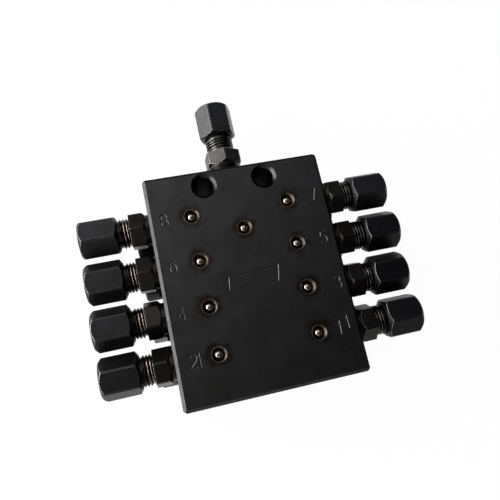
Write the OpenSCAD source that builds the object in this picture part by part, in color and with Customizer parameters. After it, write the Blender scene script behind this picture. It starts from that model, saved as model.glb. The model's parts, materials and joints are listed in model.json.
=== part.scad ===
// Lubricant divider block: a drilled steel block that shares one grease feed among eight outlets.
// It lies on its mounting face: +Z comes out of the front, +Y points to the inlet, +X to the odd outlets.
// The origin is the centre of the mounting face. Threads are drawn at their core diameter.

/* [Block] */
// Width between the two outlet faces
block_w = 60; // [56:1:90]
// Thickness from the mounting face to the front
block_t = 30; // [29:1:45]
// From the outermost outlet rows to the end faces
end_margin = 15; // [13.5:0.5:25]
// Bevel on every outer edge
edge_bevel = 1; // [0.3:0.1:1.4]

/* [Mounting holes] */
// Diameter of the two through holes
mount_hole_d = 6.6; // [5:0.1:7.2]
// Distance between the two holes
mount_spacing = 20.5; // [19.5:0.5:30]
// From the inlet face to the hole axes
mount_inset = 5.4; // [5.2:0.1:6.5]
// Bevel at both mouths of each hole
mount_bevel = 1; // [0.2:0.1:1.2]

/* [Drillings] */
// From the front to the axes of the outlets
port_depth = 7; // [6.5:0.5:9]
// Diameter of the grease passages
passage_d = 3; // [2:0.1:3.6]
// From the outlet faces to the ball closed drillings
ball_inset = 13.75; // [12:0.25:18]
// From the inlet face to the feed drilling
feed_inset = 21.75; // [17:0.25:26]
// Diameter of the long feed gallery
gallery_d = 2.6; // [1.8:0.1:2.7]
// Room past the end of a stud in its hole
stud_runout = 1.2; // [0.5:0.1:2.5]

/* [Ball closures] */
// Diameter of the pressed balls
ball_d = 3.3; // [2.8:0.1:4]
// How far a ball lies below the face
ball_sink = 0.25; // [0:0.05:0.8]
// Diameter of the countersink round a ball
countersink_d = 5.2; // [4.4:0.1:6.5]
// Diameter of the front drillings that the balls close
ball_drilling_d = 2.4; // [1.6:0.1:2.7]

/* [Pistons] */
// Diameter of a distributing piston
piston_d = 5; // [4:0.1:6]
// Travel of a piston between its two plugs
piston_stroke = 6; // [3:0.5:8]
// Diameter of the necks between the lands
neck_d = 3.4; // [2.4:0.1:3.8]
// Length of each neck
neck_l = 6; // [4:0.5:8]
// Length of the middle land
middle_land_l = 8; // [5:0.5:11]

/* [Screw plugs] */
// Thread wall of a plug outside the piston
plug_wall = 2; // [1.5:0.1:2.6]
// Hexagon wall of a plug outside its thread
plug_hex_wall = 1.5; // [0.8:0.1:1.6]
// Height of the hexagon head
plug_head_h = 4.6; // [3:0.1:6]
// Bevel on the corners of the head
plug_bevel = 0.7; // [0.3:0.05:1.2]
// Length of the stud inside the block
plug_stud_l = 7; // [5:0.5:9]
// Thickness of a seal washer
washer_t = 1.2; // [0.8:0.1:2]

/* [Tube fittings] */
// Outside diameter of the grease tube
tube_d = 6; // [4:0.5:7]
// Thread wall outside the tube
thread_wall = 2; // [1.8:0.1:2.6]
// Hexagon wall of the nuts and the inlet outside the thread
nut_hex_wall = 1; // [0.8:0.1:1.6]
// Hexagon wall of the outlet bodies outside the thread
body_hex_wall = 0.5; // [0.3:0.1:1]
// Pitch of the tube thread
thread_pitch = 1; // [0.75:0.25:1.25]
// Nominal diameter of the port thread in the block
port_thread_d = 10; // [8:0.5:10.5]
// Length of a fitting's stud inside the block
stud_l = 7; // [5:0.5:9]
// Height of the shoulder below an outlet hexagon
shoulder_h = 1.25; // [0.8:0.05:2.5]
// Collar wall of the inlet outside the port thread
collar_wall = 0.7; // [0.6:0.1:1.5]
// Height of the inlet's collar
collar_h = 4.3; // [2:0.1:6]
// Extra thread on the inlet's body
inlet_thread_extra = 2.1; // [0:0.1:4]
// Height of a fitting body's hexagon
body_hex_h = 5.2; // [3.5:0.1:8]
// Bare thread between a hexagon and its nut
nut_gap = 4.1; // [3.6:0.1:6]
// Length of thread inside a nut
thread_hold = 4.4; // [4:0.1:5]
// Depth of the straight tube socket
socket_l = 6; // [3.5:0.5:7]
// Length of a union nut
nut_l = 12.3; // [11.8:0.1:15]
// Length of the tube hole at the end of a nut
nut_hole_l = 3.5; // [2.5:0.1:4]
// Bevel on the hexagon corners
hex_bevel = 1.15; // [0.6:0.05:1.6]
// How far the long hexagon edges are rounded down
corner_trim = 0.15; // [0.05:0.05:0.4]
// Length of a cutting ring
ring_l = 5.2; // [4.5:0.1:5.8]
// How far a ring's nose lies inside the sealing cone
ring_seat = 1.2; // [0.8:0.1:1.4]

/* [Clearances] */
// Space between the corners of neighbouring nuts
spanner_gap = 1.14; // [1:0.02:5]
// Space between outlet hexagons and plug heads
row_gap = 0.5; // [0.3:0.1:2]
// Radial clearance of a piston in its bore
piston_clearance = 0.02; // [0.01:0.005:0.05]
// Clearance between a piston and a plug at either stop
stop_clearance = 0.1; // [0.05:0.01:0.3]
// Radial clearance of a thread core in its hole
thread_clearance = 0.1; // [0.05:0.01:0.2]
// Radial clearance of the tube in its socket and ring
tube_clearance = 0.05; // [0.03:0.01:0.15]
// Radial clearance of a ball in its hole
ball_clearance = 0.01; // [0.005:0.005:0.03]
// Clearance between a cutting ring and its nut
ring_clearance = 0.05; // [0.02:0.01:0.15]
// Radial clearance of a washer round its thread
washer_clearance = 0.1; // [0.05:0.05:0.3]

/* [Hidden] */
$fn = 96;
// Cuts run this far past the face that they open
overcut = 1;
// Core depth of a metric thread on its diameter, per unit of pitch
core_per_pitch = 1.2269;
// Pitch of the fine threads in the block
fine_pitch = 1;
// Half angle of the sealing cone
cone_half_angle = 12;
// Wall left at the mouth of the sealing cone
cone_lip = 0.6;
// Wall of a cutting ring at its nose and at its heel
ring_nose_t = 0.1;
ring_heel_t = 0.4;
// Share of a cutting ring that is cone
ring_cone_share = 0.6;
// Space between a cutting ring and the nut's thread
ring_side_gap = 0.5;
// Small bevel on turned ends
turned_bevel = 0.5;
// Flat rim round the threaded mouth of a nut
mouth_rim = 0.15;
// Angle of the cone that turns the corners off a nut's threaded end
mouth_angle = 33;

rows = 4;
outlets = 2 * rows;

// Hand turned angle of each hexagon: 0 has a corner to the front. Outlets 1 to 8, then the inlet.
nut_clock = [14, 19, 29, 30, 24, 28, 21, 44, 40];
body_clock = [21, 12, 12, 38, 9, 58, 13, 56, 4];
plug_clock = [5, 22, 41, 10, 33, 16, 50, 27];
// How much further each nut is backed off, outlets 1 to 8, then the inlet
nut_backoff = [0, 0.1, -0.7, 0.25, 0.5, 0.05, -0.35, -0.1, 0];

// Hexagons
tube_thread_d = tube_d + 2 * thread_wall;
nut_corner_r = (tube_thread_d / 2 + nut_hex_wall) / cos(30);
body_corner_r = (tube_thread_d / 2 + body_hex_wall) / cos(30);
plug_thread_d = piston_d + 2 * plug_wall;
plug_corner_r = (plug_thread_d / 2 + plug_hex_wall) / cos(30);

// Rows
row_pitch = 2 * nut_corner_r + spanner_gap;
block_l = (rows - 1) * row_pitch + 2 * end_margin;
port_z = block_t - port_depth;
piston_z = port_z - body_corner_r - plug_corner_r - row_gap;
ball_x = block_w / 2 - ball_inset;
feed_y = block_l / 2 - feed_inset;
mount_y = block_l / 2 - mount_inset;

// Thread cores
tube_core_r = (tube_thread_d - core_per_pitch * thread_pitch) / 2;
port_core_r = (port_thread_d - core_per_pitch * fine_pitch) / 2;
plug_core_r = (plug_thread_d - core_per_pitch * fine_pitch) / 2;

// Fitting body along its own axis, from the underside of its hexagon
body_end = body_hex_h + nut_gap + thread_hold;
socket_r = tube_d / 2 + tube_clearance;
cone_mouth_r = tube_core_r - cone_lip;
cone_base = body_end - (cone_mouth_r - socket_r) / tan(cone_half_angle);
socket_floor = cone_base - socket_l;
collar_r = port_thread_d / 2 + collar_wall;

// Union nut along its own axis, from its threaded end
nut_thread_r = tube_core_r + thread_clearance;
nut_mouth_r = tube_thread_d / 2 + thread_clearance;
nut_mouth_l = nut_mouth_r - nut_thread_r;
nut_inner_bevel = nut_corner_r - nut_mouth_r - mouth_rim;
nut_hole_r = tube_d / 2 + 2 * tube_clearance;
nut_cone_top = nut_l - nut_hole_l;
nut_cone_base = nut_cone_top - (nut_thread_r - nut_hole_r);

// Cutting ring, in the nut's axis
ring_r = tube_core_r - ring_side_gap;
ring_heel_r = socket_r + ring_heel_t;
ring_heel = nut_cone_top - (ring_heel_r - nut_hole_r) - ring_clearance;
ring_shoulder = ring_heel - (ring_r - ring_heel_r);
ring_nose = ring_heel - ring_l;
ring_nose_r = socket_r + ring_nose_t;
ring_cone_l = ring_cone_share * ring_l;
ring_cone_r = min(ring_r, ring_nose_r + ring_cone_l * tan(cone_half_angle));

// A nut is drawn up its thread until its ring's nose lies in the body's cone
nut_start = body_end - ring_seat - ring_nose;

// Pistons
plug_stop_x = block_w / 2 - plug_stud_l;
piston_l = 2 * (plug_stop_x - stop_clearance) - piston_stroke;

// Row of outlet n, counted from the inlet end, and the side that it is on
function row_of(n) = floor((outlets - n) / 2);
function side_of(n) = n % 2 == 0 ? -1 : 1;
function row_y(row) = ((rows - 1) / 2 - row) * row_pitch;

// Places

// Puts a shape that stands on z = 0 on the outlet face at row depth z
module on_outlet_face(n, z) {
    translate([side_of(n) * block_w / 2, row_y(row_of(n)), z])
        rotate([0, side_of(n) * 90, 0])
            children();
}

// Puts a shape that stands on z = 0 on the middle of the inlet face
module on_inlet_face() {
    translate([0, block_l / 2, block_t / 2])
        rotate([-90, 0, 0])
            children();
}

// Puts a shape that stands on z = 0 at every ball closed drilling of the front
module at_front_balls() {
    for (n = [1:outlets])
        translate([side_of(n) * ball_x, row_y(row_of(n)), block_t])
            children();
    translate([0, feed_y, block_t])
        children();
}

// Puts a shape that stands on z = 0 at the gallery's mouth in the bottom face
module at_gallery_mouth() {
    translate([0, -block_l / 2, piston_z])
        rotate([90, 0, 0])
            children();
}

// Shared shapes

// Rectangle with bevelled corners
module bevelled_square(size, bevel) {
    x = size[0] / 2;
    y = size[1] / 2;
    polygon([
        [-x + bevel, -y], [x - bevel, -y], [x, -y + bevel], [x, y - bevel],
        [x - bevel, y], [-x + bevel, y], [-x, y - bevel], [-x, -y + bevel],
    ]);
}

// Box with every edge bevelled, standing on z = 0
module bevelled_box(size, bevel) {
    translate([0, 0, size[2] / 2])
        intersection() {
            linear_extrude(size[2], center = true)
                bevelled_square([size[0], size[1]], bevel);
            rotate([90, 0, 0])
                linear_extrude(size[1], center = true)
                    bevelled_square([size[0], size[2]], bevel);
            rotate([90, 0, 90])
                linear_extrude(size[0], center = true)
                    bevelled_square([size[1], size[2]], bevel);
        }
}

// Hexagon with rounded long edges and its corners turned off at the bottom, at the top or at both.
// The cone at the bottom rises at bottom_angle, the one at the top at 45 degrees.
module turned_hexagon(corner_r, h, bottom_bevel, top_bevel, bottom_angle) {
    side_r = corner_r - corner_trim;
    bottom_r = min(side_r, corner_r - bottom_bevel);
    top_r = min(side_r, corner_r - top_bevel);
    intersection() {
        cylinder(r = corner_r, h = h, $fn = 6);
        rotate_extrude()
            polygon([
                [0, 0],
                [bottom_r, 0],
                [side_r, (side_r - bottom_r) * tan(bottom_angle)],
                [side_r, h - side_r + top_r],
                [top_r, h],
                [0, h],
            ]);
    }
}

// Flat ring
module washer(outer_r, inner_r, t) {
    difference() {
        cylinder(r = outer_r, h = t);
        translate([0, 0, -overcut])
            cylinder(r = inner_r, h = t + 2 * overcut);
    }
}

// Drillings, each cut from z = 0 down

module port_drilling(depth) {
    hole_r = port_core_r + thread_clearance;
    rotate_extrude()
        polygon([
            [0, overcut],
            [hole_r, overcut],
            [hole_r, -stud_l - stud_runout],
            [passage_d / 2, -stud_l - stud_runout],
            [passage_d / 2, -depth],
            [0, -depth],
        ]);
}

module ball_drilling(d, depth) {
    hole_r = ball_d / 2 + ball_clearance;
    mouth_r = countersink_d / 2;
    drilling_r = d / 2;
    ball_z = -ball_sink - ball_d / 2;
    seat_z = ball_z - sqrt(pow(ball_d / 2, 2) - pow(drilling_r, 2)) - ball_clearance;
    rotate_extrude()
        polygon([
            [0, overcut],
            [mouth_r + overcut, overcut],
            [hole_r, hole_r - mouth_r],
            [hole_r, seat_z],
            [drilling_r, seat_z],
            [drilling_r, -depth],
            [0, -depth],
        ]);
}

module plug_drilling() {
    translate([0, 0, -plug_stud_l - stud_runout])
        cylinder(r = plug_core_r + thread_clearance, h = plug_stud_l + stud_runout + overcut);
}

module piston_bore(row) {
    translate([0, row_y(row), piston_z])
        rotate([0, 90, 0])
            cylinder(d = piston_d + 2 * piston_clearance, h = block_w, center = true);
}

module mounting_hole() {
    hole_r = mount_hole_d / 2;
    mouth_r = hole_r + mount_bevel + overcut;
    rotate_extrude()
        polygon([
            [0, -overcut],
            [mouth_r, -overcut],
            [hole_r, mount_bevel],
            [hole_r, block_t - mount_bevel],
            [mouth_r, block_t + overcut],
            [0, block_t + overcut],
        ]);
}

// Sub-parts

module block() {
    cross_depth = block_t - piston_z;
    color("#3b3c3e")
        difference() {
            bevelled_box([block_w, block_l, block_t], edge_bevel);
            for (n = [1:outlets]) {
                on_outlet_face(n, port_z)
                    port_drilling(ball_inset);
                on_outlet_face(n, piston_z)
                    plug_drilling();
            }
            for (row = [0:rows - 1])
                piston_bore(row);
            at_front_balls()
                ball_drilling(ball_drilling_d, cross_depth);
            on_inlet_face()
                port_drilling(feed_inset);
            at_gallery_mouth()
                ball_drilling(gallery_d, block_l - end_margin);
            for (side = [-1, 1])
                translate([side * mount_spacing / 2, mount_y, 0])
                    mounting_hole();
        }
}

module closing_ball() {
    color("#b8b3a8")
        translate([0, 0, -ball_sink - ball_d / 2])
            sphere(d = ball_d);
}

module ball_plugs() {
    at_front_balls()
        closing_ball();
}

module gallery_ball() {
    at_gallery_mouth()
        closing_ball();
}

// Spool with two end lands, two necks and a middle land. It rests on one plug, by turns left and right.
module piston(row) {
    rest_side = row % 2 == 0 ? -1 : 1;
    land_r = piston_d / 2;
    neck_r = neck_d / 2;
    half = piston_l / 2;
    inner = middle_land_l / 2;
    outer = inner + neck_l;
    bevel = turned_bevel / 2;
    color("#c3c5c8")
        translate([rest_side * piston_stroke / 2, row_y(row), piston_z])
            rotate([0, 90, 0])
                rotate_extrude()
                    polygon([
                        [0, -half], [land_r - bevel, -half], [land_r, -half + bevel],
                        [land_r, -outer], [neck_r, -outer], [neck_r, -inner], [land_r, -inner],
                        [land_r, inner], [neck_r, inner], [neck_r, outer], [land_r, outer],
                        [land_r, half - bevel], [land_r - bevel, half], [0, half],
                    ]);
}

module plug_washer(n) {
    color("#77797c")
        on_outlet_face(n, piston_z)
            washer(plug_corner_r - corner_trim, plug_thread_d / 2 + washer_clearance, washer_t);
}

module piston_plug(n) {
    color("#2c2d30")
        on_outlet_face(n, piston_z) {
            rotate_extrude()
                polygon([
                    [0, -plug_stud_l],
                    [plug_core_r - turned_bevel, -plug_stud_l],
                    [plug_core_r, -plug_stud_l + turned_bevel],
                    [plug_core_r, washer_t],
                    [0, washer_t],
                ]);
            translate([0, 0, washer_t])
                rotate(plug_clock[n - 1])
                    turned_hexagon(plug_corner_r, plug_head_h, 0, plug_bevel, 45);
        }
}

// Stud, foot, hexagon and tube thread, bored for the tube. It stands on the underside of its hexagon.
module fitting_body(clock, corner_r, foot_r, foot_h, thread_extra) {
    stud_end = -foot_h - stud_l;
    end = body_end + thread_extra;
    color("#2a2a2b")
        difference() {
            union() {
                rotate_extrude()
                    polygon([
                        [0, stud_end],
                        [port_core_r - turned_bevel, stud_end],
                        [port_core_r, stud_end + turned_bevel],
                        [port_core_r, -foot_h],
                        [foot_r, -foot_h],
                        [foot_r, 0],
                        [tube_core_r, 0],
                        [tube_core_r, end - turned_bevel],
                        [tube_core_r - turned_bevel, end],
                        [0, end],
                    ]);
                rotate(clock)
                    turned_hexagon(corner_r, body_hex_h, hex_bevel, 0, 45);
            }
            rotate_extrude()
                polygon([
                    [0, stud_end - overcut],
                    [passage_d / 2, stud_end - overcut],
                    [passage_d / 2, socket_floor + thread_extra],
                    [socket_r, socket_floor + thread_extra],
                    [socket_r, cone_base + thread_extra],
                    [cone_mouth_r, end],
                    [cone_mouth_r, end + overcut],
                    [0, end + overcut],
                ]);
        }
}

module union_nut(clock) {
    color("#202124")
        difference() {
            rotate(clock)
                turned_hexagon(nut_corner_r, nut_l, nut_inner_bevel, hex_bevel, mouth_angle);
            rotate_extrude()
                polygon([
                    [0, -overcut],
                    [nut_mouth_r, -overcut],
                    [nut_mouth_r, 0],
                    [nut_thread_r, nut_mouth_l],
                    [nut_thread_r, nut_cone_base],
                    [nut_hole_r, nut_cone_top],
                    [nut_hole_r, nut_l - turned_bevel],
                    [nut_hole_r + turned_bevel, nut_l],
                    [nut_hole_r + turned_bevel, nut_l + overcut],
                    [0, nut_l + overcut],
                ]);
        }
}

module cutting_ring() {
    color("#8d8f92")
        rotate_extrude()
            polygon([
                [socket_r, ring_nose],
                [ring_nose_r, ring_nose],
                [ring_cone_r, ring_nose + ring_cone_l],
                [ring_r, ring_nose + ring_cone_l],
                [ring_r, ring_shoulder],
                [ring_heel_r, ring_heel],
                [socket_r, ring_heel],
            ]);
}

// An outlet sits on the block with a shoulder as wide as its thread
module outlet_body(n) {
    on_outlet_face(n, port_z)
        translate([0, 0, shoulder_h])
            fitting_body(body_clock[n - 1], body_corner_r, port_thread_d / 2, shoulder_h, 0);
}

module outlet_nut(n) {
    on_outlet_face(n, port_z)
        translate([0, 0, shoulder_h + nut_start + nut_backoff[n - 1]])
            union_nut(nut_clock[n - 1]);
}

module outlet_cutting_ring(n) {
    on_outlet_face(n, port_z)
        translate([0, 0, shoulder_h + nut_start + nut_backoff[n - 1]])
            cutting_ring();
}

module inlet_washer() {
    color("#77797c")
        on_inlet_face()
            washer(collar_r, port_thread_d / 2 + washer_clearance, washer_t);
}

// The inlet's collar sits on its seal washer
module inlet_body() {
    on_inlet_face()
        translate([0, 0, washer_t + collar_h])
            fitting_body(body_clock[outlets] + 90, nut_corner_r, collar_r, collar_h, inlet_thread_extra);
}

module inlet_nut() {
    on_inlet_face()
        translate([0, 0, washer_t + collar_h + inlet_thread_extra + nut_start + nut_backoff[outlets]])
            union_nut(nut_clock[outlets] + 90);
}

module inlet_cutting_ring() {
    on_inlet_face()
        translate([0, 0, washer_t + collar_h + inlet_thread_extra + nut_start + nut_backoff[outlets]])
            cutting_ring();
}

block();
ball_plugs();
gallery_ball();
for (i = [1:rows])
    piston(i - 1);
for (n = [1:outlets]) {
    piston_plug(n);
    plug_washer(n);
    outlet_body(n);
    outlet_nut(n);
    outlet_cutting_ring(n);
}
inlet_washer();
inlet_body();
inlet_nut();
inlet_cutting_ring();
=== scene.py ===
"""Dresses the lubricant divider block: black oxide steel, struck numbers, threads and balls.

Lengths are in millimetres in the part's own frame, and become metres where a mesh is made.
"""

import json
import logging
import math
from abc import ABC, abstractmethod
from collections.abc import Mapping, Sequence
from dataclasses import dataclass, field, replace
from enum import Enum
from typing import Protocol

import bmesh
import bpy
from mathutils import Matrix, Vector

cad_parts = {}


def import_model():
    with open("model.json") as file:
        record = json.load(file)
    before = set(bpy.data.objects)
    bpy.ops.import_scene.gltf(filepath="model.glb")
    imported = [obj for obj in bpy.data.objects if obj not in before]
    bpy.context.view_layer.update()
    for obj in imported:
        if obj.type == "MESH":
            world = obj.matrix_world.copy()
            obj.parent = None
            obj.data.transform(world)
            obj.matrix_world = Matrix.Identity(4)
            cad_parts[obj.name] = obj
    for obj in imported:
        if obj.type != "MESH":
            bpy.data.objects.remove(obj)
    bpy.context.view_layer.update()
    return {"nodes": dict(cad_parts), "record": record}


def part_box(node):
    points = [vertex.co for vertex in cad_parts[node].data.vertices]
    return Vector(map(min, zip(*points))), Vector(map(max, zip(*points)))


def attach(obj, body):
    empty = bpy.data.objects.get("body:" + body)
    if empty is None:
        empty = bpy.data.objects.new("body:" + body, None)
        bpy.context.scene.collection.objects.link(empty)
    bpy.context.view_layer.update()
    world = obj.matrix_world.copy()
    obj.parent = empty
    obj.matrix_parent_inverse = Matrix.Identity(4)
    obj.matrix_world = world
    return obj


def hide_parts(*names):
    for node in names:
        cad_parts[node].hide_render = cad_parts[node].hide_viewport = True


LOG = logging.getLogger("divider")
MM = 0.001
BODY = "divider"
# Sockets of the Mix node for colours, which it lists after those for numbers and vectors
MIX_FACTOR, MIX_A, MIX_B, MIX_RESULT = 0, 6, 7, 2
# Nearly all of a noise pattern lies between these values
NOISE_LOW, NOISE_HIGH = 0.3, 0.7

Point = tuple[float, float]
Triple = tuple[float, float, float]
Tree = bpy.types.NodeTree
Socket = bpy.types.NodeSocket
Material = bpy.types.Material
Piece = bpy.types.Object
# Colour, roughness and normal of a surface
Skin = tuple[Socket, Socket, Socket]
# Points round one cross-section of a long shape
Ring = Sequence[bmesh.types.BMVert]


def linear(hex_colour: str) -> tuple[float, float, float, float]:
    """Turns an sRGB hex colour into linear light, by the formula of the sRGB standard.

    Args:
        hex_colour: The colour as "#rrggbb".

    Returns:
        Red, green, blue and an alpha of 1.
    """
    levels = [int(hex_colour[at:at + 2], 16) / 255 for at in (1, 3, 5)]
    red, green, blue = (
        v / 12.92 if v <= 0.04045 else ((v + 0.055) / 1.055) ** 2.4 for v in levels
    )
    return red, green, blue, 1.0


def per_metre(size_mm: float) -> float:
    """Gives the pattern scale whose features are size_mm across."""
    return 1 / (size_mm * MM)


def add_node(
    tree: Tree,
    kind: str,
    inputs: Mapping[str | int, object] | None = None,
    **settings: object,
) -> bpy.types.Node:
    """Adds a node with its settings and links.

    Args:
        tree: The node tree that gets the node.
        kind: The node's type name.
        inputs: For each input socket, the socket to link to it or the plain value to set.
        **settings: Attributes of the node itself.

    Returns:
        The new node.
    """
    node = tree.nodes.new(kind)
    for name, value in settings.items():
        setattr(node, name, value)
    for name, value in (inputs or {}).items():
        if isinstance(value, Socket):
            tree.links.new(value, node.inputs[name])
        else:
            node.inputs[name].default_value = value
    return node


def new_tree(name: str) -> tuple[Material, Tree]:
    """Makes an empty node material.

    Args:
        name: The material's name.

    Returns:
        The material and its node tree.
    """
    material = bpy.data.materials.new(name)
    material.use_nodes = True
    material.node_tree.nodes.clear()
    return material, material.node_tree


# Finishes


@dataclass(frozen=True)
class SteelFinish(ABC):
    """A steel surface: a metal shader over a skin of patterns."""

    name: str
    # Light that comes off at a low angle. White is smooth metal, and a torn surface shades itself.
    low_angle: str = "#ffffff"

    def material(self) -> Material:
        """Makes the finish as a node material.

        Returns:
            The material.
        """
        material, tree = new_tree(self.name)
        place = add_node(tree, "ShaderNodeTexCoord").outputs["Object"]
        colour, roughness, normal = self.skin(tree, place)
        shader = add_node(tree, "ShaderNodeBsdfPrincipled", {
            "Base Color": colour, "Roughness": roughness, "Normal": normal, "Metallic": 1.0,
            "Specular Tint": linear(self.low_angle),
        })
        add_node(tree, "ShaderNodeOutputMaterial", {"Surface": shader.outputs["BSDF"]})
        return material

    @abstractmethod
    def skin(self, tree: Tree, place: Socket) -> Skin:
        """Draws the patterns of the surface.

        Args:
            tree: The material's node tree.
            place: Position on the object, in metres.

        Returns:
            Colour, roughness and normal.
        """


@dataclass(frozen=True)
class BlackOxide(SteelFinish):
    """Black oxide on steel: a thin black skin sealed with oil.

    The eye sees a near-black satin with faint brown or blue clouds, a fine grain,
    and the grey of bare steel where the edges have rubbed.
    """

    colour: str = "#3d3d3d"
    cloud: str = "#363534"
    bare: str = "#8a8987"
    roughness: float = 0.36
    roughness_swing: float = 0.12
    cloud_mm: float = 7.0
    # Noise values between which the clouds come in
    cloud_span: Point = (0.35, 0.65)
    # The real grain is a few hundredths of a millimetre. It is drawn coarser so that it shows.
    grain_mm: float = 0.35
    grain_depth_mm: float = 0.006
    edge_mm: float = 0.22
    edge_samples: int = 8
    edge_wear: float = 0.5
    # How far the rounded edge and the flat face agree where wear begins, and where it is full
    edge_span: Point = (0.995, 0.95)
    # Noise values between which the wear grows to its full, and the share left outside them
    patch_span: Point = (0.3, 0.6)
    patch_least: float = 0.25

    def skin(self, tree: Tree, place: Socket) -> Skin:
        """Draws the clouds, the grain and the rubbed edges.

        Args:
            tree: The material's node tree.
            place: Position on the object, in metres.

        Returns:
            Colour, roughness and normal.
        """
        clouds = add_node(tree, "ShaderNodeTexNoise", {
            "Vector": place, "Scale": per_metre(self.cloud_mm), "Detail": 4.0, "Roughness": 0.6,
        }).outputs["Fac"]
        grain = add_node(tree, "ShaderNodeTexNoise", {
            "Vector": place, "Scale": per_metre(self.grain_mm), "Detail": 2.0,
        }).outputs["Fac"]
        cloudy = add_node(tree, "ShaderNodeMapRange", {
            "Value": clouds, "From Min": self.cloud_span[0], "From Max": self.cloud_span[1],
        }).outputs["Result"]
        tint = add_node(tree, "ShaderNodeMix", {
            MIX_FACTOR: cloudy, MIX_A: linear(self.colour), MIX_B: linear(self.cloud),
        }, data_type="RGBA").outputs[MIX_RESULT]
        rounded = add_node(tree, "ShaderNodeBevel", {"Radius": self.edge_mm * MM},
                           samples=self.edge_samples).outputs["Normal"]
        rubbed = self.rubbed_edges(tree, rounded, clouds)
        colour = add_node(tree, "ShaderNodeMix", {
            MIX_FACTOR: rubbed, MIX_A: tint, MIX_B: linear(self.bare),
        }, data_type="RGBA").outputs[MIX_RESULT]
        roughness = add_node(tree, "ShaderNodeMapRange", {
            "Value": grain, "From Min": NOISE_LOW, "From Max": NOISE_HIGH,
            "To Min": self.roughness - self.roughness_swing / 2,
            "To Max": self.roughness + self.roughness_swing / 2,
        }).outputs["Result"]
        normal = add_node(tree, "ShaderNodeBump", {
            "Height": grain, "Distance": self.grain_depth_mm * MM, "Strength": 1.0,
            "Normal": rounded,
        }).outputs["Normal"]
        return colour, roughness, normal

    def rubbed_edges(self, tree: Tree, rounded: Socket, patches: Socket) -> Socket:
        """Finds the edges where the black has rubbed off.

        Args:
            tree: The material's node tree.
            rounded: Normal of the surface with its edges rounded.
            patches: Noise that breaks the wear up.

        Returns:
            How bare the steel is, from 0 to 1.
        """
        flat = add_node(tree, "ShaderNodeNewGeometry").outputs["Normal"]
        agree = add_node(tree, "ShaderNodeVectorMath", {0: rounded, 1: flat},
                         operation="DOT_PRODUCT").outputs["Value"]
        edge = add_node(tree, "ShaderNodeMapRange", {
            "Value": agree, "From Min": self.edge_span[0], "From Max": self.edge_span[1],
            "To Max": self.edge_wear,
        }).outputs["Result"]
        broken = add_node(tree, "ShaderNodeMapRange", {
            "Value": patches, "From Min": self.patch_span[0], "From Max": self.patch_span[1],
            "To Min": self.patch_least,
        }).outputs["Result"]
        return add_node(tree, "ShaderNodeMath", {0: edge, 1: broken},
                        operation="MULTIPLY").outputs[0]


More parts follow.
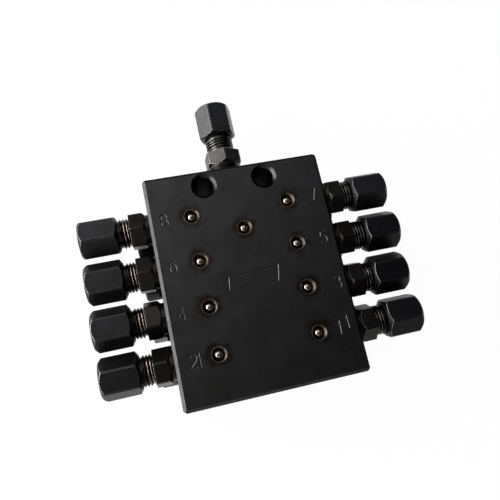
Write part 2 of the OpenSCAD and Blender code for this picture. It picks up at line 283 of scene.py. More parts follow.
@dataclass(frozen=True, kw_only=True)
class OiledFace(BlackOxide):
    """Black oxide on a fine-ground face, stained by oil round the pressed balls.

    The stain gives the eye a brown, wetter ring round each ball that fades into the satin face.
    """

    ball_x_mm: float
    row_mm: float
    feed_y_mm: float
    front_mm: float
    oil_stain_and_shade: str = "#2b231d"
    oil_roughness: float = 0.3
    stain_from_mm: float = 2.2
    stain_to_mm: float = 5.0
    # The stain's edge wanders in and out by ragged_reach_mm, in patches ragged_mm across
    ragged_mm: float = 3.0
    ragged_reach_mm: float = 1.2
    # Only what lies this close under the front is stained
    front_skin_mm: float = 1.0

    def skin(self, tree: Tree, place: Socket) -> Skin:
        """Draws the plain skin and lays the oil stains over it.

        Args:
            tree: The material's node tree.
            place: Position on the object, in metres.

        Returns:
            Colour, roughness and normal.
        """
        colour, roughness, normal = super().skin(tree, place)
        stain = self.stain(tree, place)
        stained = add_node(tree, "ShaderNodeMix", {
            MIX_FACTOR: stain, MIX_A: colour, MIX_B: linear(self.oil_stain_and_shade),
        }, data_type="RGBA").outputs[MIX_RESULT]
        wetter = add_node(tree, "ShaderNodeMapRange", {
            "Value": stain, "To Min": roughness, "To Max": self.oil_roughness,
        }).outputs["Result"]
        return stained, wetter, normal

    def stain(self, tree: Tree, place: Socket) -> Socket:
        """Works out the oil round the two columns of balls and the feed ball.

        Args:
            tree: The material's node tree.
            place: Position on the object, in metres.

        Returns:
            How oily the face is, from 0 to 1.
        """
        axes = add_node(tree, "ShaderNodeSeparateXYZ", {"Vector": place}).outputs
        aside = add_node(tree, "ShaderNodeMath", {0: axes["X"]}, operation="ABSOLUTE").outputs[0]
        across = add_node(tree, "ShaderNodeMath", {0: aside, 1: self.ball_x_mm * MM},
                          operation="SUBTRACT").outputs[0]
        # The rows lie half a pitch and one and a half pitches from the middle
        up_down = add_node(tree, "ShaderNodeMath", {0: axes["Y"]}, operation="ABSOLUTE").outputs[0]
        shifted = add_node(tree, "ShaderNodeMath", {0: up_down, 1: self.row_mm * MM},
                           operation="SUBTRACT").outputs[0]
        mirrored = add_node(tree, "ShaderNodeMath", {0: shifted}, operation="ABSOLUTE").outputs[0]
        along = add_node(tree, "ShaderNodeMath", {0: mirrored, 1: self.row_mm / 2 * MM},
                         operation="SUBTRACT").outputs[0]
        column = add_node(tree, "ShaderNodeCombineXYZ", {"X": across, "Y": along}).outputs[0]
        column_gap = add_node(tree, "ShaderNodeVectorMath", {0: column},
                              operation="LENGTH").outputs["Value"]
        feed = (0.0, self.feed_y_mm * MM, self.front_mm * MM)
        feed_gap = add_node(tree, "ShaderNodeVectorMath", {0: place, 1: feed},
                            operation="DISTANCE").outputs["Value"]
        gap = add_node(tree, "ShaderNodeMath", {0: column_gap, 1: feed_gap},
                       operation="MINIMUM").outputs[0]
        ragged = add_node(tree, "ShaderNodeTexNoise", {
            "Vector": place, "Scale": per_metre(self.ragged_mm), "Detail": 3.0,
        }).outputs["Fac"]
        reach = add_node(tree, "ShaderNodeMapRange", {
            "Value": ragged, "From Min": NOISE_LOW, "From Max": NOISE_HIGH,
            "To Min": -self.ragged_reach_mm * MM, "To Max": self.ragged_reach_mm * MM,
        }).outputs["Result"]
        edge = add_node(tree, "ShaderNodeMath", {0: gap, 1: reach}, operation="ADD").outputs[0]
        ring = add_node(tree, "ShaderNodeMapRange", {
            "Value": edge, "From Min": self.stain_to_mm * MM, "From Max": self.stain_from_mm * MM,
        }, interpolation_type="SMOOTHSTEP").outputs["Result"]
        front = add_node(tree, "ShaderNodeMath", {
            0: axes["Z"], 1: (self.front_mm - self.front_skin_mm) * MM,
        }, operation="GREATER_THAN").outputs[0]
        return add_node(tree, "ShaderNodeMath", {0: ring, 1: front},
                        operation="MULTIPLY").outputs[0]


@dataclass(frozen=True, kw_only=True)
class ShadedFoot(BlackOxide):
    """Black oxide on a turned fitting, with painted shade on its collar under the hexagon.

    The eye sees a grey satin hexagon over a collar that stays black.
    """

    foot_y_mm: float
    # Colour of the painted shade on the collar under the hexagon
    oil_stain_and_shade: str = "#171615"

    def skin(self, tree: Tree, place: Socket) -> Skin:
        """Draws the plain skin and paints shade on the collar below the hexagon.

        Args:
            tree: The material's node tree.
            place: Position on the object, in metres.

        Returns:
            Colour, roughness and normal.
        """
        colour, roughness, normal = super().skin(tree, place)
        height = add_node(tree, "ShaderNodeSeparateXYZ", {"Vector": place}).outputs["Y"]
        # Below the hexagon's foot the collar takes the painted shade
        under_hexagon = add_node(tree, "ShaderNodeMath", {0: height, 1: self.foot_y_mm * MM},
                       operation="LESS_THAN").outputs[0]
        shade_painted = add_node(tree, "ShaderNodeMix", {
            MIX_FACTOR: under_hexagon, MIX_A: colour, MIX_B: linear(self.oil_stain_and_shade),
        }, data_type="RGBA").outputs[MIX_RESULT]
        return shade_painted, roughness, normal


@dataclass(frozen=True)
class BareSteel(SteelFinish):
    """Bare steel, turned, ground or polished.

    The eye sees a clear metal with fine tool lines and thin brown oil in patches.
    """

    colour: str = "#b4afa6"
    stain: str = "#6b5f50"
    roughness: float = 0.25
    # The tool lines vary the roughness between these shares of it
    roughness_span: Point = (0.8, 1.2)
    stain_mm: float = 1.5
    stain_share: float = 0.5
    # Noise values between which the oil patches come in
    stain_span: Point = (0.4, 0.65)
    # Tool lines are a few hundredths of a millimetre apart. They are drawn coarser to show.
    line_mm: float = 0.25
    line_depth_mm: float = 0.004

    def skin(self, tree: Tree, place: Socket) -> Skin:
        """Draws the oil patches and the tool lines.

        Args:
            tree: The material's node tree.
            place: Position on the object, in metres.

        Returns:
            Colour, roughness and normal.
        """
        patches = add_node(tree, "ShaderNodeTexNoise", {
            "Vector": place, "Scale": per_metre(self.stain_mm), "Detail": 4.0,
        }).outputs["Fac"]
        stained = add_node(tree, "ShaderNodeMapRange", {
            "Value": patches, "From Min": self.stain_span[0], "From Max": self.stain_span[1],
            "To Max": self.stain_share,
        }).outputs["Result"]
        colour = add_node(tree, "ShaderNodeMix", {
            MIX_FACTOR: stained, MIX_A: linear(self.colour), MIX_B: linear(self.stain),
        }, data_type="RGBA").outputs[MIX_RESULT]
        lines = add_node(tree, "ShaderNodeTexNoise", {
            "Vector": place, "Scale": per_metre(self.line_mm), "Detail": 1.0,
        }).outputs["Fac"]
        roughness = add_node(tree, "ShaderNodeMapRange", {
            "Value": lines, "From Min": NOISE_LOW, "From Max": NOISE_HIGH,
            "To Min": self.roughness * self.roughness_span[0],
            "To Max": self.roughness * self.roughness_span[1],
        }).outputs["Result"]
        normal = add_node(tree, "ShaderNodeBump", {
            "Height": lines, "Distance": self.line_depth_mm * MM, "Strength": 1.0,
        }).outputs["Normal"]
        return colour, roughness, normal


@dataclass(frozen=True)
class PaperFloor:
    """Matt white paper.

    It shows white to the camera and in polished metal, and keeps a faint shadow.
    """

    name: str = "matt_white_paper"
    colour: str = "#f4f4f4"
    white_share: float = 0.97

    def material(self) -> Material:
        """Makes the paper as a node material.

        Returns:
            The material.
        """
        material, tree = new_tree(self.name)
        rays = add_node(tree, "ShaderNodeLightPath").outputs
        seen = add_node(tree, "ShaderNodeMath", {
            0: rays["Is Camera Ray"], 1: rays["Is Glossy Ray"],
        }, operation="ADD").outputs[0]
        shown = add_node(tree, "ShaderNodeMath", {0: seen, 1: rays["Is Transmission Ray"]},
                         operation="ADD", use_clamp=True).outputs[0]
        share = add_node(tree, "ShaderNodeMath", {0: shown, 1: self.white_share},
                         operation="MULTIPLY").outputs[0]
        matt = add_node(tree, "ShaderNodeBsdfDiffuse", {
            "Color": linear(self.colour),
        }).outputs["BSDF"]
        white = add_node(tree, "ShaderNodeEmission", {"Strength": 1.0}).outputs["Emission"]
        surface = add_node(tree, "ShaderNodeMixShader", {
            0: share, 1: matt, 2: white,
        }).outputs["Shader"]
        add_node(tree, "ShaderNodeOutputMaterial", {"Surface": surface})
        return material


# Mesh helpers


def to_piece(name: str, shape: bmesh.types.BMesh) -> Piece:
    """Turns a shape into a piece in the scene, and frees the shape.

    Args:
        name: The piece's name.
        shape: Its points and faces, in metres.

    Returns:
        The new piece.
    """
    mesh = bpy.data.meshes.new(name)
    shape.to_mesh(mesh)
    shape.free()
    piece = bpy.data.objects.new(name, mesh)
    bpy.context.scene.collection.objects.link(piece)
    return piece


def join_rings(
    shape: bmesh.types.BMesh, rings: Sequence[Ring], closed: bool,
) -> list[list[bmesh.types.BMFace]]:
    """Joins each ring of points to the next with a band of faces.

    Args:
        shape: The shape that gets the faces.
        rings: The rings in order, all with the same number of points.
        closed: Whether the last ring joins the first. If not, both ends are capped.

    Returns:
        The faces of each band, in the order of the ring's points.
    """
    followers = [*rings[1:], rings[0]] if closed else rings[1:]
    bands = []
    for here, there in zip(rings, followers):
        neighbours = [*range(1, len(here)), 0]
        bands.append([
            shape.faces.new((here[a], here[b], there[b], there[a]))
            for a, b in enumerate(neighbours)
        ])
    if not closed:
        shape.faces.new(rings[0])
        shape.faces.new(rings[-1][::-1])
    return bands


def smooth_by_angle(mesh: bpy.types.Mesh, degrees: float) -> None:
    """Shades a mesh smooth, apart from edges that bend by more than some degrees."""
    mesh.shade_smooth()
    mesh.set_sharp_from_angle(angle=math.radians(degrees))


def dress(piece: Piece, material: Material) -> Piece:
    """Gives a piece one material in all its slots.

    Args:
        piece: The piece.
        material: Its material.

    Returns:
        The piece.
    """
    if not piece.material_slots:
        piece.data.materials.append(material)
    for material_slot in piece.material_slots:
        material_slot.material = material
    return piece


# Struck numbers


@dataclass(frozen=True)
class Arc:
    """Part of an ellipse in a number's cell, with its angles in degrees from the right."""

    centre: Point
    radii: Point
    start: float
    sweep: float
    step: float = 18.0

    def points(self) -> list[Point]:
        """Walks along the arc.

        Returns:
            Points about step degrees apart.
        """
        count = max(2, round(abs(self.sweep) / self.step))
        angles = [math.radians(self.start + self.sweep * i / count) for i in range(count + 1)]
        (x, y), (rx, ry) = self.centre, self.radii
        return [(x + rx * math.cos(a), y + ry * math.sin(a)) for a in angles]


Stroke = Sequence[Point | Arc]

# Each number as the strokes of its punch, in a cell 0.6 wide and 1 high
NUMBERS: dict[int, Sequence[Stroke]] = {
    1: [[(0.14, 0.8), (0.32, 1.0), (0.32, 0.0)]],
    2: [[Arc((0.3, 0.72), (0.26, 0.28), 160, -200), (0.04, 0.0), (0.58, 0.0)]],
    3: [[Arc((0.28, 0.75), (0.25, 0.25), 150, -240), Arc((0.28, 0.25), (0.28, 0.25), 90, -240)]],
    4: [[(0.45, 0.0), (0.45, 1.0), (0.02, 0.32), (0.6, 0.32)]],
    5: [[(0.54, 1.0), (0.1, 1.0), (0.06, 0.54), Arc((0.28, 0.32), (0.3, 0.32), 137, -287)]],
    6: [[Arc((0.55, 0.3), (0.52, 0.68), 95, 85), Arc((0.3, 0.3), (0.27, 0.3), 180, 360)]],
    7: [[(0.04, 1.0), (0.58, 1.0), (0.24, 0.0)]],
    8: [[Arc((0.3, 0.75), (0.23, 0.25), -90, 360)], [Arc((0.3, 0.25), (0.28, 0.25), 90, 360)]],
}
CELL_MIDDLE = (0.3, 0.5)
# Points of a stroke that are closer than this, as a share of the cell's height, are one point
SAME_POINT = 1e-3


def stroke_points(stroke: Stroke) -> list[Point]:
    """Turns a stroke's corners and arcs into one line of points.

    Args:
        stroke: Points and arcs in order.

    Returns:
        The points, with no two neighbours in the same place.
    """
    line: list[Point] = []
    for item in stroke:
        for point in item.points() if isinstance(item, Arc) else [item]:
            if not line or math.dist(line[-1], point) > SAME_POINT:
                line.append(point)
    return line


@dataclass(frozen=True)
class Strike:
    """Where one number was struck by hand: its middle on the front and its tilt in degrees."""

    number: int
    at: Point
    tilt: float = 0.0


@dataclass
class StampCutter:
    """Wedge-shaped punch marks that are cut out of the front face."""

    front_mm: float
    width_mm: float = 0.5
    depth_mm: float = 0.2
    # The wedges stand this far above the face, so that they cut it cleanly
    clear_mm: float = 0.2
    number_height_mm: float = 3.9
    # A line whose ends are closer than this is a loop
    loop_gap_mm: float = 0.05
    # Least cosine of half a bend. It keeps sharp corners from growing spikes.
    least_mitre: float = 0.45
    mesh: bmesh.types.BMesh = field(default_factory=bmesh.new)

    def strike(self, mark: Strike) -> None:
        """Adds the strokes of one struck number.

        Args:
            mark: The number and its place.
        """
        turn = Matrix.Rotation(math.radians(mark.tilt), 2)
        for stroke in NUMBERS[mark.number]:
            line = []
            for x, y in stroke_points(stroke):
                in_cell = Vector((x - CELL_MIDDLE[0], y - CELL_MIDDLE[1]))
                offset = turn @ in_cell * self.number_height_mm
                line.append((mark.at[0] + offset.x, mark.at[1] + offset.y))
            self.groove(line)

    def groove(self, line: Sequence[Point]) -> None:
        """Adds a wedge along a line of points, closed if the line comes back to its start.

        Args:
            line: The groove's middle line on the front face, in millimetres.
        """
        closed = math.dist(line[0], line[-1]) < self.loop_gap_mm
        points = [Vector(p) for p in (line[:-1] if closed else line)]
        count = len(points)
        half = self.width_mm / 2 * (1 + self.clear_mm / self.depth_mm)
        rings = []
        for i, point in enumerate(points):
            before = points[i - 1] if closed or i else None
            after = points[(i + 1) % count] if closed or i < count - 1 else None
            leave = (point - before if after is None else after - point).normalized()
            arrive = leave if before is None else (point - before).normalized()
            along = (arrive + leave).normalized()
            aside = Vector((-along.y, along.x))
            reach = half / max(self.least_mitre, along.dot(leave))
            corners = (point + aside * reach, point, point - aside * reach)
            heights = (self.clear_mm, -self.depth_mm, self.clear_mm)
            rings.append([
                self.mesh.verts.new((c.x * MM, c.y * MM, (self.front_mm + z) * MM))
                for c, z in zip(corners, heights)
            ])
        join_rings(self.mesh, rings, closed)

    def finished(self, material: Material) -> Piece:
        """Turns the wedges into one object.

        Args:
            material: What the cut walls of the marks are made of.

        Returns:
            The cutter.
        """
        bmesh.ops.recalc_face_normals(self.mesh, faces=self.mesh.faces)
        return dress(to_piece("stamp_cutter", self.mesh), material)


# Sub-assemblies


class SubAssembly(Protocol):
    """A group of pieces that builds itself."""

    def build(self) -> list[Piece]:
        """Makes and dresses the pieces, and gives them back."""


class Region(Enum):
    """Faces of the block that were made in different ways, by their material slot."""

    FACE = 0
    EDGE = 1
    SEAT = 2
    BORE = 3
    RIM = 4


# The finishes of the block, apart from its ground faces
REGION_FINISHES: dict[Region, SteelFinish] = {
    # Milled bevels, rubbed in handling: a grey line along the block's left edge
    Region.EDGE: BlackOxide(
        "black_oxide_rubbed_edge", colour="#3b3b3b", cloud="#444444", bare="#7d7d7b",
        roughness=0.34, cloud_mm=2.5, edge_wear=0.2, low_angle="#7c7c7c",
    ),
    # Cut with a countersink and oily since, and darkened further as painted shade in the recess:
    # brown-black metal with a broken sheen
    Region.SEAT: BareSteel(
        "bare_countersunk_steel_painted_shade", colour="#3a342d", stain="#1f1b17", roughness=0.34,
        stain_share=0.7,
    ),
    # Drilled and blackened, and darkened further as painted shade inside the holes: deep black with
    # no clear reflection
    Region.BORE: BlackOxide(
        "black_oxide_drilled_bore_painted_shade", colour="#080808", cloud="#060606", roughness=0.6,
        edge_wear=0.05, low_angle="#d0d0d0",
    ),
    # Countersunk and blackened: a smooth rim that catches one crescent of light
    Region.RIM: BlackOxide(
        "black_oxide_countersunk_rim", colour="#313131", cloud="#2a2a2a", roughness=0.3,
        edge_wear=0.1,
    ),
}


@dataclass
class PortBlock:
    """The drilled block with its struck numbers and its pressed and staked balls."""

    nodes: Mapping[str, Piece]
    ball_r_mm: float = 1.65
    countersink_r_mm: float = 2.7
    # Faces round a ball that lie deeper than this belong to its drilling
    seat_depth_mm: float = 4.0
    feed_inset_mm: float = 21.75
    rows: int = 4
    row_mm: float = 14.996
    # The bead that staking raised round each ball, half sunk in the countersink
    bead_r_mm: float = 2.42
    bead_half_mm: float = 0.17
    bead_depth_mm: float = 0.22
    bead_steps: int = 48
    bead_sides: int = 8
    # The plain frame struck by hand in the middle, by its corners
    frame_corners: Sequence[Point] = ((-9.1, -3.7), (7.1, -3.5), (8.1, 1.4), (-8.5, 0.6))
    strikes: Sequence[Strike] = (
        Strike(8, (-25.2, 22.7), 1), Strike(6, (-25.1, 7.3), -2), Strike(4, (-25.2, -8.2), 2),
        Strike(2, (-24.4, -23.0), -4), Strike(1, (-22.4, -23.1), 1),
        Strike(7, (25.3, 22.8), 1), Strike(5, (25.2, 7.7), -2), Strike(3, (26.2, -7.9), 3),
        Strike(1, (23.2, -22.4), -2), Strike(1, (26.1, -21.2), 2),
    )
    # Points closer than weld_mm become one, and so do faces that bend by less than flat_deg
    weld_mm: float = 1e-3
    flat_deg: float = 0.2
    smooth_deg: float = 25.0
    # How far off the block's box a face still counts as outside, and how far in the bevels reach
    outside_mm: float = 0.02
    margin_mm: float = 1.2
    # A slanted face looks at least this much along two axes
    slant: float = 0.3

    def build(self) -> list[Piece]:
        """Makes the block's visible shell and the staked beads, and dresses the balls.

        Returns:
            The shell, the beads and the balls.
        """
        low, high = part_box("block")
        balls_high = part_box("ball_plugs")[1]
        front_mm = high.z / MM
        ball_x_mm = balls_high.x / MM - self.ball_r_mm
        feed_y_mm = high.y / MM - self.feed_inset_mm
        row_ys = [self.row_mm * (i - (self.rows - 1) / 2) for i in range(self.rows)]
        seats = [(side * ball_x_mm, y) for side in (-1, 1) for y in row_ys] + [(0.0, feed_y_mm)]
        face = OiledFace(
            "black_oxide_ground_steel", ball_x_mm=ball_x_mm, row_mm=self.row_mm,
            feed_y_mm=feed_y_mm, front_mm=front_mm, edge_mm=0.12, edge_wear=0.15,
        )
        finishes = {Region.FACE: face, **REGION_FINISHES}
        shell = self.shell()
        for region in Region:
            shell.data.materials.append(finishes[region].material())
        self.sort_faces(shell.data, low, high, seats)
        self.strike_numbers(shell, front_mm)
        smooth_by_angle(shell.data, self.smooth_deg)
        for polygon in shell.data.polygons:
            polygon.use_smooth = polygon.material_index in (Region.SEAT.value, Region.BORE.value)
        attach(shell, BODY)
        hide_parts("block")
        beads = self.stake_balls(seats, front_mm)
        # Polished and pressed in: a small dark mirror with one bright spot
        ball = BareSteel(
            "polished_ball_steel", colour="#a89f96", stain="#453c35", roughness=0.1,
            stain_mm=0.9, stain_share=0.45, line_depth_mm=0.001,
        ).material()
        balls = [dress(self.nodes[name], ball) for name in ("ball_plugs", "gallery_ball")]
        return [shell, beads, *balls]

    def shell(self) -> Piece:
        """Copies the block's solid as a closed mesh.

        Returns:
            The shell, without materials.
        """
        solid = bmesh.new()
        solid.from_mesh(self.nodes["block"].data)
        bmesh.ops.remove_doubles(solid, verts=solid.verts, dist=self.weld_mm * MM)
        bmesh.ops.dissolve_limit(
            solid, angle_limit=math.radians(self.flat_deg), verts=solid.verts, edges=solid.edges,
        )
        return to_piece("block_shell", solid)

    def sort_faces(
        self, mesh: bpy.types.Mesh, low: Vector, high: Vector, seats: Sequence[Point],
    ) -> None:
        """Sets each face's region from where it lies and where it looks.

        Args:
            mesh: The shell's mesh.
            low: The block's lowest corner.
            high: Its highest corner.
            seats: Where the balls lie on the front.
        """
        outside, margin = self.outside_mm * MM, self.margin_mm * MM
        seat_floor = high.z - self.seat_depth_mm * MM
        for polygon in mesh.polygons:
            at = polygon.center
            outer = any(
                min(abs(at[i] - low[i]), abs(at[i] - high[i])) < outside for i in range(3)
            )
            clear = [low[i] + margin < at[i] < high[i] - margin for i in range(3)]
            slanted = sum(abs(c) > self.slant for c in polygon.normal) >= 2
            near = min(math.dist((at.x / MM, at.y / MM), seat) for seat in seats)
            if outer:
                region = Region.FACE
            elif near < self.countersink_r_mm and at.z > seat_floor:
                region = Region.SEAT
            elif all(clear) or not slanted:
                region = Region.BORE
            else:
                region = Region.RIM if all(clear[:2]) else Region.EDGE
            polygon.material_index = region.value

    def stake_balls(self, seats: Sequence[Point], front_mm: float) -> Piece:
        """Raises the bead round each ball, where its countersink was staked.

        Args:
            seats: Where the balls lie on the front.
            front_mm: Height of the front face.

        Returns:
            The beads.
        """
        beads = bmesh.new()
        for x, y in seats:
            rings = []
            for step in range(self.bead_steps):
                angle = 2 * math.pi * step / self.bead_steps
                ring = []
                for side in range(self.bead_sides):
                    slope = 2 * math.pi * side / self.bead_sides
                    r = self.bead_r_mm + self.bead_half_mm * math.cos(slope)
                    z = front_mm - self.bead_depth_mm + self.bead_half_mm * math.sin(slope)
                    ring.append(beads.verts.new((
                        (x + r * math.cos(angle)) * MM, (y + r * math.sin(angle)) * MM, z * MM,
                    )))
                rings.append(ring)
            join_rings(beads, rings, closed=True)
        bmesh.ops.recalc_face_normals(beads, faces=beads.faces)
        piece = to_piece("staked_beads", beads)
        piece.data.shade_smooth()
        # Burred by the staking punch and rubbed bare: a thin broken ring of light
        dress(piece, BareSteel(
            "rubbed_staked_steel", colour="#7b7166", stain="#2c2722", roughness=0.3,
            stain_mm=2.0, stain_share=0.8,
        ).material())
        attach(piece, BODY)
        return piece

    def strike_numbers(self, shell: Piece, front_mm: float) -> None:
        """Cuts the numbers and the plain frame into the front.

        Args:
            shell: The block's shell.
            front_mm: Height of the front face.
        """
        # Struck by hand and blackened over: slanted walls that are lit on one side
        struck = BlackOxide(
            "black_oxide_struck_mark", colour="#4a4a4b", cloud="#39393a", roughness=0.38,
            cloud_mm=1.2, edge_mm=0.1, edge_wear=0.2,
        ).material()
        cutter = StampCutter(front_mm)
        for mark in self.strikes:
            cutter.strike(mark)
        cutter.groove([*self.frame_corners, self.frame_corners[0]])
        tool = cutter.finished(struck)
        cut = shell.modifiers.new("struck_numbers", "BOOLEAN")
        cut.operation = "DIFFERENCE"
        cut.solver = "EXACT"
        cut.use_self = True
        cut.material_mode = "TRANSFER"
        cut.object = tool
        evaluated = shell.evaluated_get(bpy.context.evaluated_depsgraph_get())
        mesh = bpy.data.meshes.new_from_object(evaluated)
        shell.modifiers.clear()
        shell.data = mesh
        bpy.data.objects.remove(tool)


@dataclass(frozen=True)
class FittingLook:
    """The materials of one tube fitting."""

    body: Material
    nut: Material
    ring: Material
    flank: Material
    crest: Material


@dataclass
class TubeFitting:
    """One tube fitting: its body, union nut and cutting ring, and the thread between them."""

    nodes: Mapping[str, Piece]
    label: str
    outward: Triple
    body: str
    nut: str
    ring: str
    foot_mm: float
    hexagon_mm: float = 5.2
    # Smooth neck between the hexagon and the thread
    neck_mm: float = 0.0
    core_r_mm: float = 4.387
    crest_r_mm: float = 4.98
    # How far the ridge's foot is sunk into the core
    sunk_mm: float = 0.06
    pitch_mm: float = 1.0
    # Half the width of the ridge's foot as a share of the pitch, and how sharp its crest is
    half_root_share: float = 0.47
    sharpness: float = 1.3
    profile_points: int = 9
    steps_per_turn: int = 48
    # The ridge rises out of the core over this much of its first and last turn
    run_out_turns: float = 0.25
    # Next to the hexagon the crests are rubbed bright, and towards the nut they are black with oil
    bright_turns: float = 2.0
    smooth_deg: float = 80.0

    def build(self, look: FittingLook, face: Vector) -> list[Piece]:
        """Makes the thread and dresses the fitting.

        Args:
            look: The fitting's materials.
            face: Where the fitting's axis leaves the block.

        Returns:
            The body, the nut, the ring and the thread.
        """
        axis = Vector(self.outward)
        low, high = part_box(self.nut)
        start_mm = self.foot_mm + self.hexagon_mm + self.neck_mm
        end_mm = min(abs((corner - face).dot(axis)) for corner in (low, high)) / MM
        turn = axis.to_track_quat("Z", "Y").to_matrix().to_4x4()
        piece = self.thread(start_mm, end_mm)
        piece.data.transform(Matrix.Translation(face) @ turn)
        smooth_by_angle(piece.data, self.smooth_deg)
        for material in (look.flank, look.crest):
            piece.data.materials.append(material)
        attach(piece, BODY)
        return [
            dress(self.nodes[self.body], look.body), dress(self.nodes[self.nut], look.nut),
            dress(self.nodes[self.ring], look.ring), piece,
        ]

    def thread(self, start_mm: float, end_mm: float) -> Piece:
        """Winds the thread's ridge round the core, along +Z.

        Args:
            start_mm: Where the hexagon or its neck ends.
            end_mm: Where the nut begins.

        Returns:
            The ridge, with its rubbed crest in the second material slot.
        """
        half_root = self.pitch_mm * self.half_root_share
        first, last = start_mm + half_root, end_mm - half_root
        turns = (last - first) / self.pitch_mm
        count = round(turns * self.steps_per_turn)
        sunk_r = self.core_r_mm - self.sunk_mm
        run_out_steps = self.run_out_turns * self.steps_per_turn
        ridge = bmesh.new()
        rings = []
        for i in range(count + 1):
            angle = 2 * math.pi * turns * i / count
            height = first + self.pitch_mm * turns * i / count
            rise = min(1.0, min(i, count - i) / run_out_steps)
            crest_r = self.core_r_mm + (self.crest_r_mm - self.core_r_mm) * rise
            ring = []
            for k in range(self.profile_points):
                share = 2 * k / (self.profile_points - 1) - 1
                bulge = math.cos(share * math.pi / 2) ** self.sharpness
                r = sunk_r + (crest_r - sunk_r) * bulge
                z = height + share * half_root
                ring.append(ridge.verts.new(
                    (r * math.cos(angle) * MM, r * math.sin(angle) * MM, z * MM),
                ))
            rings.append(ring)
        top = (self.profile_points - 1) // 2
        bright_steps = self.bright_turns * self.steps_per_turn
        for i, band in enumerate(join_rings(ridge, rings, closed=False)):
            for a, side in enumerate(band):
                side.material_index = int(a in (top - 1, top) and i < bright_steps)
        bmesh.ops.recalc_face_normals(ridge, faces=ridge.faces)
        return to_piece(f"{self.label}_thread", ridge)


@dataclass
class FittingSet:
    """The eight outlet fittings and the inlet."""

    nodes: Mapping[str, Piece]
    mounts: Sequence[Mapping[str, object]]
    outlets: int = 8
    shoulder_mm: float = 1.25
    inlet_foot_mm: float = 5.5
    inlet_neck_mm: float = 1.2
    inlet_bright_turns: float = 6.0
    # The painted shade on the inlet's collar stops this far under the hexagon
    shade_gap_mm: float = 0.1
    # These fittings, all on the right, get darker copies of the body and nut: painted shade on the
    # side away from the lamp
    shaded_outlets: Sequence[int] = (1, 3, 5)

    def build(self) -> list[Piece]:
        """Makes and dresses every fitting.

        Returns:
            The pieces of all the fittings.
        """
        low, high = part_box("block")
        places = {mount["name"]: Vector(mount["pos_m"]) for mount in self.mounts}
        left = self.left_look()
        # Turned crests under oil: dull grey lines
        right = replace(left, crest=BareSteel(
            "turned_thread_crest_steel", colour="#73716b", stain="#383632", roughness=0.26,
            stain_mm=1.2, stain_share=0.7,
        ).material())
        dark = self.shaded_look(right)
        pieces = []
        for n in range(1, self.outlets + 1):
            side = -1 if n % 2 == 0 else 1
            look = left if side < 0 else dark if n in self.shaded_outlets else right
            at = places[f"outlet_{n}"]
            face = Vector((high.x if side > 0 else low.x, at.y, at.z))
            pieces += TubeFitting(
                self.nodes, f"outlet_{n}", (side, 0, 0), f"outlet_body_{n}", f"outlet_nut_{n}",
                f"cutting_ring_{n}", self.shoulder_mm,
            ).build(look, face)
        at = places["inlet"]
        inlet = TubeFitting(
            self.nodes, "inlet", (0, 1, 0), "inlet_body", "inlet_nut", "inlet_cutting_ring",
            self.inlet_foot_mm, neck_mm=self.inlet_neck_mm, bright_turns=self.inlet_bright_turns,
        )
        look = self.inlet_look(right, high.y / MM)
        return pieces + inlet.build(look, Vector((at.x, high.y, at.z)))

    def left_look(self) -> FittingLook:
        """Makes the materials of the fittings on the left.

        Returns:
            Their look.
        """
        return FittingLook(
            # Turned from hexagon bar: brown-black flats with rubbed corners
            body=BlackOxide(
                "black_oxide_turned_fitting", colour="#2f2d2b", cloud="#292724", bare="#9a948a",
                roughness=0.34, cloud_mm=3.0, edge_mm=0.18, edge_wear=0.8,
            ).material(),
            # Milled from bar: soft blue-black flats with worn, bright edges
            nut=BlackOxide(
                "black_oxide_milled_nut", colour="#303032", cloud="#2a2a2b", bare="#a3a2a0",
                roughness=0.42, cloud_mm=4.0, edge_mm=0.2, edge_wear=1.0,
            ).material(),
            # Zinc plated: pale grey with a soft shine
            ring=BareSteel(
                "zinc_plated_ring_steel", colour="#a9aaac", stain="#77746d", roughness=0.3,
            ).material(),
            # Rolled and oiled: glossy black-brown grooves
            flank=BlackOxide(
                "black_oxide_rolled_thread", colour="#342f2d", cloud="#2a2625", bare="#a98f80",
                roughness=0.26, cloud_mm=1.5, edge_mm=0.06, edge_wear=0.1,
            ).material(),
            # Rubbed bare by the nut: thin warm lines of light
            crest=BareSteel(
                "rubbed_thread_crest_steel", colour="#a8968f", stain="#5a4c46", roughness=0.22,
                stain_mm=1.2, stain_share=0.7,
            ).material(),
        )

    def shaded_look(self, base: FittingLook) -> FittingLook:
        """Makes the darker body and nut, whose dark colours are painted shade.

        Args:
            base: The look that gives the rest.

        Returns:
            The look of the dark fittings.
        """
        return replace(
            base,
            # Turned and blackened, with painted shade: flats that are nearly black
            body=BlackOxide(
                "black_oxide_turned_fitting_painted_shade", colour="#24221f", cloud="#1f1d1b",
                roughness=0.34, cloud_mm=3.0, edge_mm=0.15,
            ).material(),
            # Milled and blackened, with painted shade: nearly black between bright edges
            nut=BlackOxide(
                "black_oxide_milled_nut_painted_shade", colour="#232325", cloud="#1e1e1f", bare="#a3a2a0",
                roughness=0.4, cloud_mm=4.0, edge_mm=0.2, edge_wear=1.0,
            ).material(),
        )

    def inlet_look(self, base: FittingLook, top_mm: float) -> FittingLook:
        """Makes the greyer body and nut of the inlet.

        Args:
            base: The look that gives the rest.
            top_mm: Where the block's top face lies.

        Returns:
            The look of the inlet.
        """
        return replace(
            base,
            # Turned and thinly blackened: grey satin flats with one bright corner, over a collar in
            # painted shade
            body=ShadedFoot(
                "black_oxide_turned_inlet", colour="#403f3d", cloud="#393836", bare="#b5b4b2",
                roughness=0.34, cloud_mm=3.0, edge_mm=0.22, edge_wear=1.0,
                foot_y_mm=top_mm + self.inlet_foot_mm - self.shade_gap_mm,
            ).material(),
            # Milled and thinly blackened: flats that go grey where they face the lamp
            nut=BlackOxide(
                "black_oxide_milled_inlet_nut", colour="#3f3f40", cloud="#383838",
                roughness=0.36, cloud_mm=4.0, edge_mm=0.16, edge_wear=0.8,
            ).material(),
        )


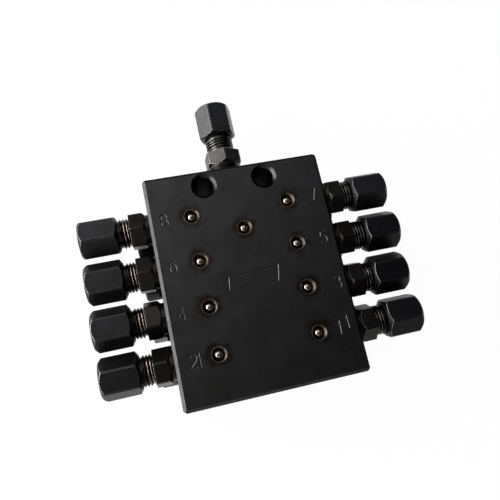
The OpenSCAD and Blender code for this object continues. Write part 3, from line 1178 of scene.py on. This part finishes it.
@dataclass
class PistonSet:
    """The four pistons with the screw plugs and washers that close their bores."""

    nodes: Mapping[str, Piece]
    pistons: int = 4
    plugs: int = 8

    def build(self) -> list[Piece]:
        """Dresses the pistons, plugs and washers.

        Returns:
            All of them, with the inlet's washer.
        """
        # Ground to size: clear bright steel
        piston = BareSteel(
            "ground_piston_steel", colour="#c3c4c6", stain="#8f8a80", roughness=0.18,
        ).material()
        # Milled from bar: dark grey satin flats
        plug = BlackOxide(
            "black_oxide_milled_plug", colour="#38383a", cloud="#302e2c", roughness=0.36,
        ).material()
        # Punched from soft sheet and oily: dull dark grey
        washer = BareSteel(
            "soft_washer_steel", colour="#3d3c3a", stain="#2a2724", roughness=0.4,
        ).material()
        materials = {f"piston_{i}": piston for i in range(1, self.pistons + 1)}
        for n in range(1, self.plugs + 1):
            materials[f"piston_plug_{n}"] = plug
            materials[f"plug_washer_{n}"] = washer
        materials["inlet_washer"] = washer
        return [dress(self.nodes[name], material) for name, material in materials.items()]


# Studio


@dataclass(frozen=True)
class SoftGlow:
    """A broad patch of light on the walls and ceiling of the studio."""

    towards: Triple
    colour: str
    strength: float
    tightness: float


@dataclass
class Studio:
    """The paper floor, the soft light and the camera."""

    eye_mm: Triple = (-25.661, -24.259, 185.684)
    forward: Triple = (0.1606, 0.1997, -0.96661)
    up: Triple = (0.18215, 0.9565, 0.22788)
    lens_mm: float = 35.738
    sensor_mm: float = 36.0
    nearest_m: float = 0.01
    floor_half_m: float = 3.0
    floor_drop_mm: float = 0.1
    wall_colour: str = "#f6f7ff"
    wall_strength: float = 0.055
    glows: Sequence[SoftGlow] = (
        SoftGlow((-0.32, 0.55, 0.77), "#fdfbf8", 1.8, 8.5),
        SoftGlow((0.36, 0.92, 0.1), "#c4d2ff", 0.22, 30.0),
        SoftGlow((0.22, 0.5, 0.84), "#d0dcff", 0.45, 28.0),
        SoftGlow((-0.55, -0.8, 0.24), "#fffaf2", 1.1, 5.0),
    )
    lamp_at_m: Triple = (-0.55, 0.1, 0.22)
    lamp_size_m: Point = (0.85, 0.4)
    lamp_watts: float = 11.0

    def build(self) -> list[Piece]:
        """Makes the floor, the light and the camera.

        Returns:
            The floor.
        """
        self.make_camera()
        floor = self.make_floor()
        self.make_walls()
        self.make_lamp()
        return [floor]

    def make_camera(self) -> None:
        """Puts the camera where the photograph was taken from."""
        camera = bpy.data.objects.new("camera", bpy.data.cameras.new("camera"))
        camera.data.lens = self.lens_mm
        camera.data.sensor_width = self.sensor_mm
        camera.data.clip_start = self.nearest_m
        back = -Vector(self.forward).normalized()
        right = Vector(self.up).cross(back).normalized()
        turn = Matrix((right, back.cross(right), back)).transposed().to_4x4()
        camera.matrix_world = Matrix.Translation(Vector(self.eye_mm) * MM) @ turn
        bpy.context.scene.collection.objects.link(camera)
        bpy.context.scene.camera = camera

    def make_floor(self) -> Piece:
        """Lays the paper just under the block.

        Returns:
            The floor.
        """
        sheet = bmesh.new()
        bmesh.ops.create_grid(sheet, x_segments=1, y_segments=1, size=self.floor_half_m)
        bmesh.ops.translate(sheet, verts=sheet.verts, vec=(0, 0, -self.floor_drop_mm * MM))
        floor = dress(to_piece("floor", sheet), PaperFloor().material())
        return floor

    def make_walls(self) -> None:
        """Makes the dim studio with its soft patches of light."""
        world = bpy.data.worlds.new("studio")
        world.use_nodes = True
        tree = world.node_tree
        tree.nodes.clear()
        way = add_node(tree, "ShaderNodeTexCoord").outputs["Generated"]
        light = add_node(tree, "ShaderNodeBackground", {
            "Color": linear(self.wall_colour), "Strength": self.wall_strength,
        }).outputs["Background"]
        for glow in self.glows:
            facing = add_node(tree, "ShaderNodeVectorMath", {
                0: way, 1: Vector(glow.towards).normalized(),
            }, operation="DOT_PRODUCT").outputs["Value"]
            front = add_node(tree, "ShaderNodeMath", {0: facing, 1: 0.0},
                             operation="MAXIMUM").outputs[0]
            patch = add_node(tree, "ShaderNodeMath", {0: front, 1: glow.tightness},
                             operation="POWER").outputs[0]
            level = add_node(tree, "ShaderNodeMath", {0: patch, 1: glow.strength},
                             operation="MULTIPLY").outputs[0]
            lit = add_node(tree, "ShaderNodeBackground", {
                "Color": linear(glow.colour), "Strength": level,
            }).outputs["Background"]
            light = add_node(tree, "ShaderNodeAddShader", {0: light, 1: lit}).outputs["Shader"]
        add_node(tree, "ShaderNodeOutputWorld", {"Surface": light})
        bpy.context.scene.world = world

    def make_lamp(self) -> None:
        """Stands the long soft box that lights the block from the left."""
        lamp = bpy.data.objects.new("soft_box", bpy.data.lights.new("soft_box", "AREA"))
        lamp.data.shape = "RECTANGLE"
        lamp.data.size, lamp.data.size_y = self.lamp_size_m
        lamp.data.energy = self.lamp_watts
        lamp.location = self.lamp_at_m
        lamp.rotation_euler = (-Vector(self.lamp_at_m)).to_track_quat("-Z", "Y").to_euler()
        bpy.context.scene.collection.objects.link(lamp)


def main() -> None:
    """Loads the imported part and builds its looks."""
    logging.basicConfig(level=logging.INFO, format="%(message)s")
    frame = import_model()
    bpy.context.scene.view_settings.view_transform = "Standard"
    nodes = frame["nodes"]
    groups: list[SubAssembly] = [
        Studio(),
        PortBlock(nodes),
        FittingSet(nodes, frame["record"]["mounts"]),
        PistonSet(nodes),
    ]
    for group in groups:
        for piece in group.build():
            LOG.info("%s: %s, %d faces", type(group).__name__, piece.name, len(piece.data.polygons))


if __name__ == "__main__":
    main()
